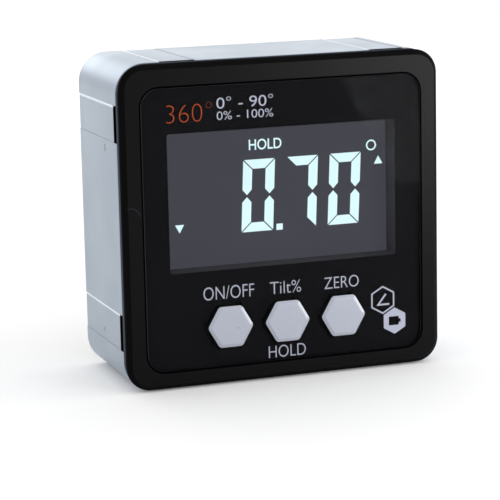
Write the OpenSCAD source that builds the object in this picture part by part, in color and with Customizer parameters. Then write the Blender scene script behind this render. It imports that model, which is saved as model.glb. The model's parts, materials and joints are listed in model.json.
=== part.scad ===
// Digital angle gauge: a square aluminium body with magnet strips on its four measuring
// sides, a black front bezel with a glossy panel, a lit display and three hexagonal keys.
// X runs to the right, Y to the back and Z up. The origin is the middle of the base.

/* [Body] */
// Width of the aluminium body
body_w = 56; // [55:0.5:66]
// Height of the aluminium body
body_h = 54; // [53.5:0.5:64]
// Length of the aluminium body from its front end to its rear end
body_d = 22; // [21:0.5:32]
// Outer corner radius of the body
body_r = 5; // [4:0.25:7]
// Wall thickness of the body
body_wall = 3.6; // [3.4:0.1:4]
// Bevel on the outer edges at both ends of the body
body_bevel = 0.25; // [0.1:0.05:0.5]
// Corner radius of the bay inside the body
bay_r = 2; // [1.5:0.25:3]
// Width of the ledge in the rear of the body that the cover seats on
ledge_w = 0.8; // [0.6:0.1:1.2]

/* [Magnet strips] */
// Width of each strip at the surface of the body
strip_w = 6.1; // [4:0.1:7]
// Thickness of the magnet bars
magnet_t = 1.8; // [1.3:0.1:2]
// How far the bars lie below the surface of the body
strip_sink = 0.05; // [0.05:0.05:0.4]
// Extra half-width of the dovetail slots at their floor
strip_flare = 0.4; // [0.1:0.1:0.8]
// Clearance between a bar and the sides of its slot
strip_gap = 0.05; // [0.03:0.01:0.2]
// Glue line under a bar
strip_glue = 0.05; // [0.02:0.01:0.1]
// Wide bevel along one long edge of a bar
magnet_bevel = 0.4; // [0.1:0.05:0.5]
// Small bevel along the other long edge of a bar
magnet_edge = 0.05; // [0.02:0.01:0.2]
// Distance from the front end of the body to the front ends of the bars
magnet_setback = 1.6; // [1:0.1:4]
// Distance from the rear end of the body to the rear ends of the bars
magnet_rear_gap = 0.3; // [0.1:0.1:1]
// Distance from the top or the base to the middle of a strip on the left and right sides
side_strip = 9.75; // [9:0.25:14]
// Distance from the left side to the middle of the left strip on the top and the base
top_strip_left = 10.75; // [9:0.25:16]
// Distance from the right side to the middle of the right strip on the top and the base
top_strip_right = 8.5; // [8.25:0.25:16]

/* [Bezel] */
// Thickness of the bezel flange in front of the body
flange_t = 1.8; // [1.6:0.1:2.6]
// Thickness of the front part of the flange, up to the step in its rim
step_t = 1.2; // [1.1:0.1:1.5]
// How far the front part of the flange stays inside the outline of the body
flange_inset = 0.16; // [0.1:0.02:0.6]
// Corner radius of the front part of the flange
flange_r = 4; // [3:0.25:5.5]
// How far the rear part of the flange stays inside the outline of the body
band_inset = 0.04; // [0.02:0.02:0.2]
// Gap between the rear part of the flange and the body
band_gap = 0.05; // [0.02:0.01:0.1]
// Bevel round the front of the flange
flange_bevel = 0.82; // [0.4:0.02:1]
// Thickness of the plate behind the front panel
plate_t = 1.5; // [1.3:0.1:1.8]
// Wall of the skirt that enters the body
skirt_t = 1.2; // [1:0.1:1.4]
// Length of the skirt inside the body
skirt_d = 4; // [3:0.25:5]
// Clearance between the skirt and the body
skirt_gap = 0.15; // [0.1:0.05:0.25]
// Thickness of the seal between the flange and the body
front_seal_t = 0.4; // [0.3:0.1:1]
// How far the end stops of the bezel lie below the surface of the body
stop_sink = 1; // [0.5:0.1:1.4]
// Space between an end stop and its magnet bar
stop_gap = 0.3; // [0.1:0.1:0.6]

/* [Front panel] */
// Distance from the sides of the body to the panel
panel_side = 3.65; // [3.4:0.05:5]
// Distance from the top of the body to the panel
panel_top = 4.1; // [3.4:0.05:6]
// Distance from the base of the body to the panel
panel_bottom = 3.26; // [2.6:0.02:4]
// Corner radius of the panel
panel_r = 3; // [1.5:0.1:4.5]
// Thickness of the clear panel
panel_t = 0.5; // [0.4:0.1:1.3]
// Width of the groove between the panel and the bezel
panel_groove = 0.4; // [0.2:0.05:0.6]
// Thickness of the black adhesive sheet behind the panel
tape_t = 0.1; // [0.05:0.05:0.3]
// Air line between the panel and the adhesive sheet
tape_slip = 0.02; // [0.01:0.01:0.1]

/* [Display] */
// Clearance between the display holder and the skirt at its sides
display_side = 1.05; // [0.3:0.05:4]
// Clearance between the display holder and the screw bosses above it
display_clear = 0.25; // [0.15:0.05:3]
// Corner radius of the display window
window_r = 0.4; // [0.2:0.1:1.5]
// Depth from the front of the bezel to the display glass
lcd_depth = 4.5; // [3.8:0.1:5]
// Thickness of the display glass
lcd_t = 1.8; // [1.2:0.1:2.4]
// How far the glass reaches past the window at its sides and top
lcd_lap = 1; // [0.5:0.1:1.2]
// How far the glass reaches below the window, where its contacts are
lcd_ledge = 2.3; // [2:0.1:3]
// Thickness of the foam frame between the bezel and the glass
foam_t = 0.6; // [0.3:0.1:0.9]
// Wall of the collar round the window on the back of the bezel
collar_t = 1.2; // [0.8:0.1:1.5]
// Thickness of the light guide behind the glass
guide_t = 2.6; // [2:0.1:3.4]
// Width of the space beside the light guide that holds the lamps
lamp_bay = 1.4; // [1.2:0.1:2.5]
// Wall of the holder round the glass and the light guide
holder_t = 0.8; // [0.5:0.1:0.9]
// Clearance between the glass and its holder
holder_gap = 0.15; // [0.05:0.05:0.25]
// Diameter of the pegs that locate the holder on the board
peg_d = 0.8; // [0.5:0.05:0.9]
// Distance from the sides of the display glass to the pegs
peg_inset = 6; // [3:0.5:10]
// Distance between the two backlight lamps
lamp_spread = 11; // [6:0.5:13]
// Thickness of the rubber contact strip below the light guide
zebra_t = 1.6; // [1:0.1:1.7]

/* [Keys] */
// Width of a hexagonal key across its flats
key_af = 6.95; // [6:0.05:7.6]
// How far the six corners of a key are rounded off
key_corner = 0.28; // [0.05:0.01:0.4]
// Bevel round the front face of a key
key_bevel = 0.35; // [0.1:0.05:0.45]
// How far the keys stand proud of the bezel
key_proud = 0.8; // [0.5:0.1:1.6]
// Distance between the middles of two keys
key_pitch = 10.05; // [9.7:0.05:11]
// Place of the middle key, to the right of the middle of the body
key_row_x = -0.1; // [-0.6:0.1:0.6]
// Clearance between the retaining rims of the keys and the skirt below them
key_clear = 0.675; // [0.2:0.025:2]
// Room for the printed labels between the keys and the window
label_room = 5.975; // [5.2:0.025:9]
// Clearance round a key in the bezel and the panel
key_gap = 0.2; // [0.15:0.05:0.3]
// How far the retaining rim of a key reaches past its sides
key_rim = 0.75; // [0.5:0.05:0.9]
// Thickness of the retaining rim
key_rim_t = 0.8; // [0.5:0.1:1.2]
// Clearance between the retaining rim and the bezel
key_seat = 0.05; // [0.02:0.01:0.1]
// Length of the post on the back of a key
key_post = 0.45; // [0.2:0.05:0.7]
// Travel of a key
key_travel = 0.4; // [0.2:0.05:0.7]
// Width of the push switches
switch_w = 6; // [5:0.1:6.5]
// Height of the push switches above the board
switch_h = 3.5; // [2.5:0.1:3.8]
// Diameter of the plungers in the push switches
plunger_d = 3.4; // [2.4:0.1:4]
// Clearance round a plunger
plunger_gap = 0.2; // [0.1:0.05:0.3]
// Length of a plunger inside its switch
plunger_in = 0.8; // [0.5:0.1:1]

/* [Main board] */
// Thickness of the main board
board_t = 1.2; // [0.8:0.1:1.6]
// Clearance between the main board and the walls of the bay
board_gap = 0.8; // [0.4:0.1:1]
// Air line between the light guide and the main board
guide_gap = 0.1; // [0.05:0.05:0.3]
// Width of the processor
processor_w = 9; // [7:0.5:12]
// Height of the processor
processor_h = 1.3; // [0.8:0.1:2]
// Width of the tilt sensor
sensor_w = 3; // [2:0.1:5]
// Height of the tilt sensor
sensor_h = 0.95; // [0.7:0.05:1.5]
// Distance from the middle of the processor down to the middle of the tilt sensor
sensor_drop = 9; // [8:0.25:12]

/* [Fastening] */
// Diameter of the screw bosses and of the board posts
boss_d = 4.6; // [4.2:0.1:4.8]
// Distance from the inner wall of the skirt to the middle of a boss
boss_set = 2.15; // [2:0.05:2.3]
// Distance of the two upper board posts from the middle of the body
post_x = 10; // [6:0.5:13]
// Height of the two lower board posts above the lower screw bosses
post_rise = 5.5; // [5:0.1:6.2]
// How far the lower board posts lie inside the screw bosses
post_in = 1.5; // [1:0.1:2]
// Shank diameter of the cover screws
cover_screw_d = 2.2; // [1.8:0.1:2.6]
// Length of the cover screws under the head
cover_screw_l = 8; // [6:0.5:10]
// Shank diameter of the board screws
board_screw_d = 1.8; // [1.4:0.1:2]
// Length of the board screws under the head
board_screw_l = 5; // [4:0.25:6]
// Clearance of a screw in its hole, on the diameter
screw_gap = 0.15; // [0.1:0.05:0.3]

/* [Rear cover] */
// Thickness of the rear cover
cover_t = 1.9; // [1.6:0.1:2.4]
// How far the rear cover lies inside the rear end of the body
cover_sink = 0.2; // [0.1:0.05:0.5]
// Clearance between the rear cover and the body
cover_gap = 0.2; // [0.1:0.05:0.3]
// Bevel round the rear cover
cover_bevel = 0.3; // [0.1:0.05:0.6]
// Length of the lip that enters the bay
lip_d = 1.2; // [0.8:0.1:1.5]
// Wall of the lip
lip_t = 1.2; // [0.8:0.1:1.4]
// Thickness of the seal under the rear cover
rear_seal_t = 0.4; // [0.3:0.1:0.8]
// Thickness of the cover under a screw head
cover_floor = 1.5; // [1:0.1:2]

/* [Power] */
// Thickness of the battery cell
battery_t = 5; // [3:0.25:6]
// Clearance between the battery cell and the screw bosses
battery_gap = 1.4; // [0.5:0.1:3]
// Height of the battery cell
battery_h = 24; // [18:0.5:26]
// Thickness of the foam pad behind the battery cell
pad_t = 1; // [0.5:0.1:1.5]
// Width of the charging socket
socket_w = 8.9; // [8:0.1:9.4]
// Height of the charging socket
socket_h = 3.3; // [3:0.1:3.6]
// Length of the charging socket
socket_l = 6.5; // [5.5:0.1:7]
// Wall of the charging socket
socket_wall = 0.35; // [0.2:0.05:0.5]
// Clearance round the charging socket in the cover
socket_gap = 0.25; // [0.1:0.05:0.4]
// Height of the charging socket above the base
socket_z = 11; // [10:0.25:13]
// Thickness of the charging board
charge_t = 1; // [0.8:0.1:1.4]
// Diameter of the two posts that carry the charging board
charge_post_d = 3.8; // [3:0.1:5]
// Edge of the charging board past its posts
charge_edge = 0.4; // [0.2:0.1:2]
// Height of the charging board
charge_h = 9.6; // [9:0.2:11]
// Diameter of the battery leads
lead_d = 1; // [0.6:0.1:1.4]

/* [Hidden] */
$fn = 64;
// Overrun of a cutting solid past the face that it opens
cut = 0.5;

// Depths, from the front of the keys to the rear of the body
total_d = key_proud + flange_t + front_seal_t + body_d;
y_key = -total_d / 2;
y_face = y_key + key_proud;
y_step = y_face + step_t;
y_flange = y_face + flange_t;
y_body = y_flange + front_seal_t;
y_rear = y_body + body_d;
y_panel_back = y_face + panel_t;
y_plate_front = y_panel_back + tape_slip + tape_t;
y_plate = y_plate_front + plate_t;
y_glass = y_face + lcd_depth;
y_collar = y_glass - foam_t;
y_guide = y_glass + lcd_t;
y_board = y_guide + guide_t + guide_gap;
y_board_back = y_board + board_t;
y_switch = y_board - switch_h;
y_rim = y_plate + key_seat + key_rim_t;
y_tip = y_rim + key_post;
y_cover = y_rear - cover_sink;
y_cover_in = y_cover - cover_t;
y_ledge = y_cover_in - rear_seal_t;

// Outlines of the bay, the skirt and the bezel
mid_z = body_h / 2;
bay_w = body_w - 2 * body_wall;
bay_h = body_h - 2 * body_wall;
skirt_w = bay_w - 2 * skirt_gap;
skirt_h = bay_h - 2 * skirt_gap;
skirt_r = bay_r - skirt_gap;
bezel_w = body_w - 2 * flange_inset;
bezel_h = body_h - 2 * flange_inset;
band_w = body_w - 2 * band_inset;
band_h = body_h - 2 * band_inset;
band_r = body_r - band_inset;

// Magnet strips: turn of the side, place along X, place along Z and edge with the wide bevel
slot_d = strip_sink + magnet_t + strip_glue;
strip_left_x = -body_w / 2 + top_strip_left;
strip_right_x = body_w / 2 - top_strip_right;
strip_low_z = side_strip;
strip_high_z = body_h - side_strip;
STRIPS = [
    [90, -body_w / 2, strip_high_z, 1],
    [90, -body_w / 2, strip_low_z, 1],
    [-90, body_w / 2, strip_high_z, -1],
    [-90, body_w / 2, strip_low_z, -1],
    [0, strip_left_x, body_h, -1],
    [0, strip_right_x, body_h, -1],
    [180, strip_left_x, 0, 1],
    [180, strip_right_x, 0, 1]
];
// Room left between the front seal and the slots
seal_clear = 0.3;
seal_w = body_wall - slot_d - seal_clear;
// Room between the front seal and the rim of the flange
seal_room = 0.15;
seal_seat = seal_w + seal_room;

// Panel
panel_w = body_w - 2 * panel_side;
panel_h = body_h - panel_top - panel_bottom;
panel_z = panel_bottom + panel_h / 2;

// Screw bosses and board posts
boss_x = bay_w / 2 - skirt_gap - skirt_t - boss_set;
boss_low = body_wall + skirt_gap + skirt_t + boss_set;
boss_high = body_h - boss_low;
BOSSES = [[-boss_x, boss_low], [boss_x, boss_low], [-boss_x, boss_high], [boss_x, boss_high]];
post_low_x = boss_x - post_in;
post_low_z = boss_low + post_rise;
POSTS = [[-post_low_x, post_low_z], [post_low_x, post_low_z], [-post_x, boss_high], [post_x, boss_high]];

// Keys
key_z = body_wall + skirt_gap + skirt_t + key_clear + key_rim + key_af / 2;
function key_x(i) = key_row_x + (i - 1) * key_pitch;
pocket_spare = 0.3;
pocket_d = plunger_in + key_travel + pocket_spare;
leg_w = 1.2;
leg_t = 0.6;
leg_out = 0.7;

// Display
holder_edge = holder_t + holder_gap + lcd_lap;
window_w = skirt_w - 2 * (skirt_t + display_side + holder_edge);
window_low = key_z + key_af / 2 + label_room;
window_high = boss_high - boss_d / 2 - display_clear - holder_edge;
window_h = window_high - window_low;
window_z = (window_high + window_low) / 2;
glass_w = window_w + 2 * lcd_lap;
glass_h = window_h + lcd_lap + lcd_ledge;
glass_z = window_z + (lcd_lap - lcd_ledge) / 2;
glass_low = glass_z - glass_h / 2;
holder_w = glass_w + 2 * (holder_gap + holder_t);
holder_h = glass_h + 2 * (holder_gap + holder_t);
zebra_gap = 0.15;
zebra_z = glass_low + zebra_gap + zebra_t / 2;
guide_low = zebra_z + zebra_t / 2 + zebra_gap;
guide_h = glass_z + glass_h / 2 - guide_low;
peg_x = glass_w / 2 - peg_inset;
peg_z = glass_low - holder_gap - holder_t / 2;
lamp_gap = 0.5;
lamp_w = lamp_bay - lamp_gap;
lamp_h = 2.8;
lamp_t = 1.6;

// Screws
head_ratio = 1.9;
head_tall = 0.68;
head_gap = 0.4;
hole_spare = 1;
cover_head_d = cover_screw_d * head_ratio;
cover_head_h = cover_screw_d * head_tall;
board_head_d = board_screw_d * head_ratio;
board_head_h = board_screw_d * head_tall;
head_sink = 0.2;
y_head_seat = y_cover - head_sink - cover_head_h;
y_cover_boss = y_head_seat - cover_floor;
cover_boss_d = cover_head_d + 2 * head_gap + 1.2;
boss_air = 0.3;
y_boss = y_cover_boss - boss_air;
board_notch = boss_d / 2 + 0.4;

// Charging board and battery
socket_sink = 0.3;
y_socket = y_cover - socket_sink;
y_charge_back = y_socket - socket_l;
y_charge = y_charge_back - charge_t;
charge_post_gap = 0.3;
charge_post_x = socket_w / 2 + socket_gap + charge_post_gap + charge_post_d / 2;
charge_w = 2 * (charge_post_x + charge_post_d / 2 + charge_edge);
charge_screw_d = 1.5;
charge_screw_l = 4;
link_w = 10;
link_h = 2.4;
link_z = socket_z - charge_h / 2 + link_h / 2 + 0.4;
battery_w = 2 * (boss_x - cover_boss_d / 2 - battery_gap);
battery_high = boss_high - 1;
battery_z = battery_high - battery_h / 2;
battery_low = battery_high - battery_h;
battery_r = 1.5;
y_pad = y_cover_in - pad_t;
y_battery = y_pad - battery_t;
pad_share = 3;
lead_x = 2;
lead_lap = 1.6;
lead_slip = 0.05;

// Extrudes a front-view outline from depth y0 to depth y1
module slab(y0, y1) {
    translate([0, y1, 0]) rotate([90, 0, 0]) linear_extrude(y1 - y0) children();
}

// Round rod along Y between two depths
module rod(x, z, d, y0, y1) {
    translate([x, y1, z]) rotate([90, 0, 0]) cylinder(d = d, h = y1 - y0);
}

// Rectangle with round corners about a point
module rounded(w, h, r, x = 0, z = mid_z) {
    translate([x, z]) {
        square([w - 2 * r, h], center = true);
        square([w, h - 2 * r], center = true);
        for (sx = [-1, 1], sz = [-1, 1])
            translate([sx * (w / 2 - r), sz * (h / 2 - r)]) circle(r = r);
    }
}

// Frame between two outlines that share a middle
module frame_outline(w, h, r, edge, x = 0, z = mid_z) {
    difference() {
        rounded(w, h, r, x, z);
        rounded(w - 2 * edge, h - 2 * edge, max(r - edge, 0.2), x, z);
    }
}

// Section of a cutter that takes a bevel off an outer edge, with its overrun past the edge
module bevel_section(c, over) {
    polygon([[-c - over, -over], [over, -over], [over, c + over]]);
}

// Cutter for the bevel round one end of a rounded block, which lies above z = 0
module block_bevel(w, h, r, c) {
    for (k = [0:3]) {
        half_x = k % 2 == 0 ? w / 2 : h / 2;
        half_y = k % 2 == 0 ? h / 2 : w / 2;
        run = 2 * (half_y - r);
        rotate([0, 0, 90 * k]) {
            translate([half_x, run / 2, 0]) rotate([90, 0, 0]) linear_extrude(run) bevel_section(c, cut);
            translate([half_x - r, half_y - r, 0])
                rotate_extrude(angle = 90) translate([r, 0]) bevel_section(c, cut);
        }
    }
}

// Bevel round the front end of a rounded block whose front lies at depth y
module front_bevel(y, w, h, r, c) {
    translate([0, y, mid_z]) mirror([0, 1, 0]) rotate([90, 0, 0]) block_bevel(w, h, r, c);
}

// Bevel round the rear end of a rounded block whose rear lies at depth y
module rear_bevel(y, w, h, r, c) {
    translate([0, y, mid_z]) rotate([90, 0, 0]) block_bevel(w, h, r, c);
}

// Hexagon with its points to the left and right
module hexagon(af) {
    circle(d = af / cos(30), $fn = 6);
}

// Cutter for the bevel round one end of a hexagonal block, which lies above z = 0
module hexagon_bevel(af, c) {
    for (k = [0:5]) rotate([0, 0, 60 * k + 30])
        translate([af / 2, af / 2, 0]) rotate([90, 0, 0]) linear_extrude(af) bevel_section(c, cut);
}

// The three key openings, wider than a key by the given clearance
module key_openings(gap) {
    for (i = [0:2]) translate([key_x(i), key_z]) hexagon(key_af + 2 * gap);
}

// Half-width of a dovetail slot at a depth below the surface
function slot_half(depth) = strip_w / 2 + strip_flare * depth / slot_d;

// Places an outline on one of the eight strips, with the surface at y = 0
module on_strip(k) {
    translate([STRIPS[k][1], STRIPS[k][2]]) rotate(STRIPS[k][0]) children();
}

module slot_outline() {
    mouth = slot_half(0);
    floor_half = slot_half(slot_d);
    polygon([[-mouth, cut], [mouth, cut], [mouth, 0], [floor_half, -slot_d], [-floor_half, -slot_d], [-mouth, 0]]);
}

// Outline of a piece that fills a slot between two depths, with its own bevel on each outer edge
module slot_fill(top, bottom, bevel, other_bevel) {
    foot = slot_half(bottom) - strip_gap;
    polygon([
        [other_bevel + strip_gap - slot_half(top), -top],
        [slot_half(top) - strip_gap - bevel, -top],
        [slot_half(top + bevel) - strip_gap, -top - bevel],
        [foot, -bottom],
        [-foot, -bottom],
        [strip_gap - slot_half(top + other_bevel), -top - other_bevel]
    ]);
}

// Screw along Y with its head towards +Y and a cross recess, seated at depth y
module screw(x, z, d, length, y) {
    head_r = d * head_ratio / 2;
    head_h = d * head_tall;
    crown = head_h * 0.35;
    tip = d * 0.45;
    slot_w = d * 0.28;
    slot_l = d * 1.15;
    translate([x, y, z]) rotate([-90, 0, 0]) difference() {
        rotate_extrude() polygon([
            [0, -length], [d * 0.12, -length], [d / 2, tip - length], [d / 2, 0],
            [head_r, 0], [head_r, head_h - crown], [head_r - crown, head_h], [0, head_h]
        ]);
        for (a = [0, 90]) rotate([0, 0, a])
            translate([-slot_l / 2, -slot_w / 2, head_h * 0.45]) cube([slot_l, slot_w, head_h]);
    }
}

module aluminium_body() {
    color("silver") difference() {
        slab(y_body, y_rear) difference() {
            rounded(body_w, body_h, body_r);
            rounded(bay_w, bay_h, bay_r);
            for (k = [0:7]) on_strip(k) slot_outline();
        }
        slab(y_ledge, y_rear + cut) rounded(bay_w + 2 * ledge_w, bay_h + 2 * ledge_w, bay_r + ledge_w);
        front_bevel(y_body, body_w, body_h, body_r, body_bevel);
        rear_bevel(y_rear, body_w, body_h, body_r, body_bevel);
    }
}

module magnet(k) {
    bevel = STRIPS[k][3] > 0 ? magnet_bevel : magnet_edge;
    other_bevel = STRIPS[k][3] > 0 ? magnet_edge : magnet_bevel;
    color("lightsteelblue") slab(y_body + magnet_setback, y_rear - magnet_rear_gap)
        on_strip(k) slot_fill(strip_sink, slot_d - strip_glue, bevel, other_bevel);
}

// Moulded bezel: flange, plate, skirt, window collar, screw bosses, board posts and end stops
module front_bezel() {
    color("#26272b") difference() {
        union() {
            slab(y_face, y_step) rounded(bezel_w, bezel_h, flange_r);
            difference() {
                slab(y_step, y_body - band_gap) rounded(band_w, band_h, band_r);
                slab(y_flange, y_body) rounded(bay_w + 2 * seal_seat, bay_h + 2 * seal_seat, bay_r + seal_seat);
            }
            slab(y_plate_front, y_plate) rounded(skirt_w, skirt_h, skirt_r);
            slab(y_plate_front, y_body + skirt_d) frame_outline(skirt_w, skirt_h, skirt_r, skirt_t);
            slab(y_plate_front, y_collar) rounded(window_w + 2 * collar_t, window_h + 2 * collar_t, collar_t, 0, window_z);
            for (b = BOSSES) rod(b[0], b[1], boss_d, y_plate_front, y_boss);
            for (p = POSTS) rod(p[0], p[1], boss_d, y_plate_front, y_board);
            for (k = [0:7])
                slab(y_plate_front, y_body + magnet_setback - stop_gap)
                    on_strip(k) slot_fill(stop_sink, slot_d - strip_gap, 0.1, 0.1);
        }
        front_bevel(y_face, bezel_w, bezel_h, flange_r, flange_bevel);
        slab(y_face - cut, y_plate_front)
            rounded(panel_w + 2 * panel_groove, panel_h + 2 * panel_groove, panel_r + panel_groove, 0, panel_z);
        slab(y_face, y_collar + cut) rounded(window_w, window_h, window_r, 0, window_z);
        slab(y_face, y_plate + cut) key_openings(key_gap);
        for (b = BOSSES) {
            tip = y_head_seat - cover_screw_l - hole_spare;
            rod(b[0], b[1], cover_screw_d + screw_gap, tip, y_boss + cut);
        }
        for (p = POSTS) {
            tip = y_board_back - board_screw_l - hole_spare;
            rod(p[0], p[1], board_screw_d + screw_gap, tip, y_board + cut);
        }
    }
}

module front_seal() {
    color("#101012") slab(y_flange, y_body)
        frame_outline(bay_w + 2 * seal_w, bay_h + 2 * seal_w, bay_r + seal_w, seal_w);
}

module panel_outline() {
    difference() {
        rounded(panel_w, panel_h, panel_r, 0, panel_z);
        key_openings(key_gap);
    }
}

module front_panel() {
    color([0.1, 0.1, 0.12, 0.4]) slab(y_face, y_panel_back) panel_outline();
}

module panel_tape() {
    color("#0b0b0d") slab(y_plate_front - tape_t, y_plate_front) difference() {
        panel_outline();
        rounded(window_w, window_h, window_r, 0, window_z);
    }
}

module display_foam() {
    color("#1a1a1c") slab(y_collar, y_glass)
        frame_outline(window_w + 2 * collar_t, window_h + 2 * collar_t, collar_t, collar_t, 0, window_z);
}

module display_glass() {
    color("#4a4b54") slab(y_glass, y_guide) translate([0, glass_z]) square([glass_w, glass_h], center = true);
}

// Frame round the glass and the light guide, with two pegs that pass through the board
module display_holder() {
    color("whitesmoke") union() {
        slab(y_glass + cut, y_board) frame_outline(holder_w, holder_h, holder_t, holder_t, 0, glass_z);
        for (s = [-1, 1])
            rod(s * peg_x, peg_z, peg_d, y_board - cut, y_board_back);
    }
}

module light_guide() {
    color("white") slab(y_guide, y_board - guide_gap)
        translate([-glass_w / 2 + lamp_bay, guide_low]) square([glass_w - lamp_bay, guide_h]);
}

module backlight_lamps() {
    color("lightyellow") slab(y_board - lamp_t, y_board)
        for (s = [-1, 1])
            translate([-glass_w / 2 + lamp_w / 2, window_z + s * lamp_spread / 2])
                square([lamp_w, lamp_h], center = true);
}

module contact_strip() {
    color("dimgray") slab(y_guide, y_board)
        translate([0, zebra_z]) square([window_w - 2 * lcd_lap, zebra_t], center = true);
}

module main_board() {
    board_w = bay_w - 2 * board_gap;
    board_h = bay_h - 2 * board_gap;
    notch_w = board_w / 2 - boss_x + board_notch;
    notch_h = mid_z + board_h / 2 - boss_high + board_notch;
    color("darkgreen") difference() {
        slab(y_board, y_board_back) difference() {
            translate([0, mid_z]) square([board_w, board_h], center = true);
            for (sx = [-1, 1], sz = [-1, 1])
                translate([sx * (board_w - notch_w) / 2, mid_z + sz * (board_h - notch_h) / 2])
                    square([notch_w, notch_h], center = true);
        }
        for (p = POSTS) rod(p[0], p[1], board_screw_d + screw_gap, y_board - cut, y_board_back + cut);
        for (s = [-1, 1]) rod(s * peg_x, peg_z, peg_d + screw_gap, y_board - cut, y_board_back + cut);
    }
}

module board_screws() {
    color("gray") for (p = POSTS) screw(p[0], p[1], board_screw_d, board_screw_l, y_board_back);
}

module processor() {
    color("#202022") slab(y_board_back, y_board_back + processor_h)
        translate([0, mid_z]) square(processor_w, center = true);
}

module tilt_sensor() {
    color("#303036") slab(y_board_back, y_board_back + sensor_h)
        translate([0, mid_z - sensor_drop]) square(sensor_w, center = true);
}

module clock_crystal() {
    color("silver") slab(y_board_back, y_board_back + sensor_h)
        rounded(5, 2, 0.9, processor_w, mid_z - sensor_drop);
}

// Body of a push switch with the pocket for its plunger and four soldered legs
module switch_body(i) {
    color("#2a2a2c") difference() {
        union() {
            slab(y_switch, y_board) rounded(switch_w, switch_w, 0.4, key_x(i), key_z);
            for (sx = [-1, 1], sz = [-1, 1])
                slab(y_board - leg_t, y_board)
                    translate([key_x(i) + sx * switch_w / 2, key_z + sz * switch_w * 0.38])
                        square([2 * leg_out, leg_w], center = true);
        }
        rod(key_x(i), key_z, plunger_d + 2 * plunger_gap, y_switch - cut, y_switch + pocket_d);
    }
}

module plunger(i) {
    color("black") rod(key_x(i), key_z, plunger_d, y_tip, y_switch + plunger_in);
}

// Hexagonal key: bevelled cap, retaining rim behind the bezel and a post for the switch
module key(i) {
    color("gainsboro") translate([key_x(i), 0, key_z]) union() {
        difference() {
            slab(y_key, y_rim) intersection() {
                hexagon(key_af);
                circle(d = key_af / cos(30) - 2 * key_corner);
            }
            translate([0, y_key, 0]) mirror([0, 1, 0]) rotate([90, 0, 0]) hexagon_bevel(key_af, key_bevel);
        }
        slab(y_rim - key_rim_t, y_rim) hexagon(key_af + 2 * key_rim);
        rod(0, 0, plunger_d, y_rim - key_rim_t, y_tip);
    }
}

module board_connector() {
    color("black") slab(y_board_back, y_charge)
        translate([0, link_z]) square([link_w, link_h], center = true);
}

module charging_board() {
    color("darkgreen") difference() {
        slab(y_charge, y_charge_back) rounded(charge_w, charge_h, 1, 0, socket_z);
        for (s = [-1, 1])
            rod(s * charge_post_x, socket_z, charge_screw_d + screw_gap, y_charge - cut, y_charge_back + cut);
    }
}

// Flat oval socket shell with its contact tongue
module charging_socket() {
    tongue_w = socket_w * 0.72;
    tongue_h = 0.7;
    tongue_sink = 0.9;
    floor_t = 1;
    color("gray") union() {
        slab(y_charge_back, y_socket)
            frame_outline(socket_w, socket_h, socket_h / 2 - 0.01, socket_wall, 0, socket_z);
        slab(y_charge_back, y_charge_back + floor_t)
            rounded(socket_w, socket_h, socket_h / 2 - 0.01, 0, socket_z);
        slab(y_charge_back, y_socket - tongue_sink)
            translate([0, socket_z]) square([tongue_w, tongue_h], center = true);
    }
}

module charging_screws() {
    color("gray") for (s = [-1, 1])
        translate([s * charge_post_x, y_charge, socket_z]) mirror([0, 1, 0])
            screw(0, 0, charge_screw_d, charge_screw_l, 0);
}

module battery_cell() {
    color("lightgray") slab(y_battery, y_pad) rounded(battery_w, battery_h, battery_r, 0, battery_z);
}

module battery_pad() {
    color("#303030") slab(y_pad, y_cover_in)
        rounded(battery_w - pad_share, battery_h - pad_share, battery_r, 0, battery_z);
}

module battery_leads() {
    lead_end = socket_z + charge_h / 2 - lead_lap;
    color("firebrick") for (s = [-1, 1])
        translate([s * lead_x, y_charge_back + lead_slip + lead_d / 2, lead_end])
            cylinder(d = lead_d, h = battery_low - lead_end);
}

// Inset cover with a lip, four screw bosses, two charging board posts and the socket opening
module rear_cover() {
    color("#26272b") difference() {
        union() {
            slab(y_cover_in, y_cover)
                rounded(bay_w + 2 * (ledge_w - cover_gap), bay_h + 2 * (ledge_w - cover_gap), bay_r + ledge_w - cover_gap);
            slab(y_cover_in - lip_d, y_cover_in + cut)
                frame_outline(bay_w - 2 * cover_gap, bay_h - 2 * cover_gap, bay_r - cover_gap, lip_t);
            for (b = BOSSES) rod(b[0], b[1], cover_boss_d, y_cover_boss, y_cover_in + cut);
            for (s = [-1, 1]) rod(s * charge_post_x, socket_z, charge_post_d, y_charge_back, y_cover_in + cut);
        }
        rear_bevel(y_cover, bay_w + 2 * (ledge_w - cover_gap), bay_h + 2 * (ledge_w - cover_gap),
            bay_r + ledge_w - cover_gap, cover_bevel);
        for (b = BOSSES) {
            rod(b[0], b[1], cover_head_d + head_gap, y_head_seat, y_cover + cut);
            rod(b[0], b[1], cover_screw_d + screw_gap, y_cover_boss - cut, y_cover);
        }
        for (s = [-1, 1])
            rod(s * charge_post_x, socket_z, charge_screw_d + screw_gap,
                y_charge_back - cut, y_charge + charge_screw_l + cut);
        slab(y_cover_in - cut, y_cover + cut)
            rounded(socket_w + 2 * socket_gap, socket_h + 2 * socket_gap, socket_h / 2 + socket_gap - 0.01, 0, socket_z);
    }
}

module rear_seal() {
    color("#101012") slab(y_ledge, y_cover_in)
        frame_outline(bay_w + 2 * (ledge_w - cover_gap), bay_h + 2 * (ledge_w - cover_gap),
            bay_r + ledge_w - cover_gap, ledge_w - cover_gap);
}

module cover_screws() {
    color("gray") for (b = BOSSES) screw(b[0], b[1], cover_screw_d, cover_screw_l, y_head_seat);
}

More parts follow.
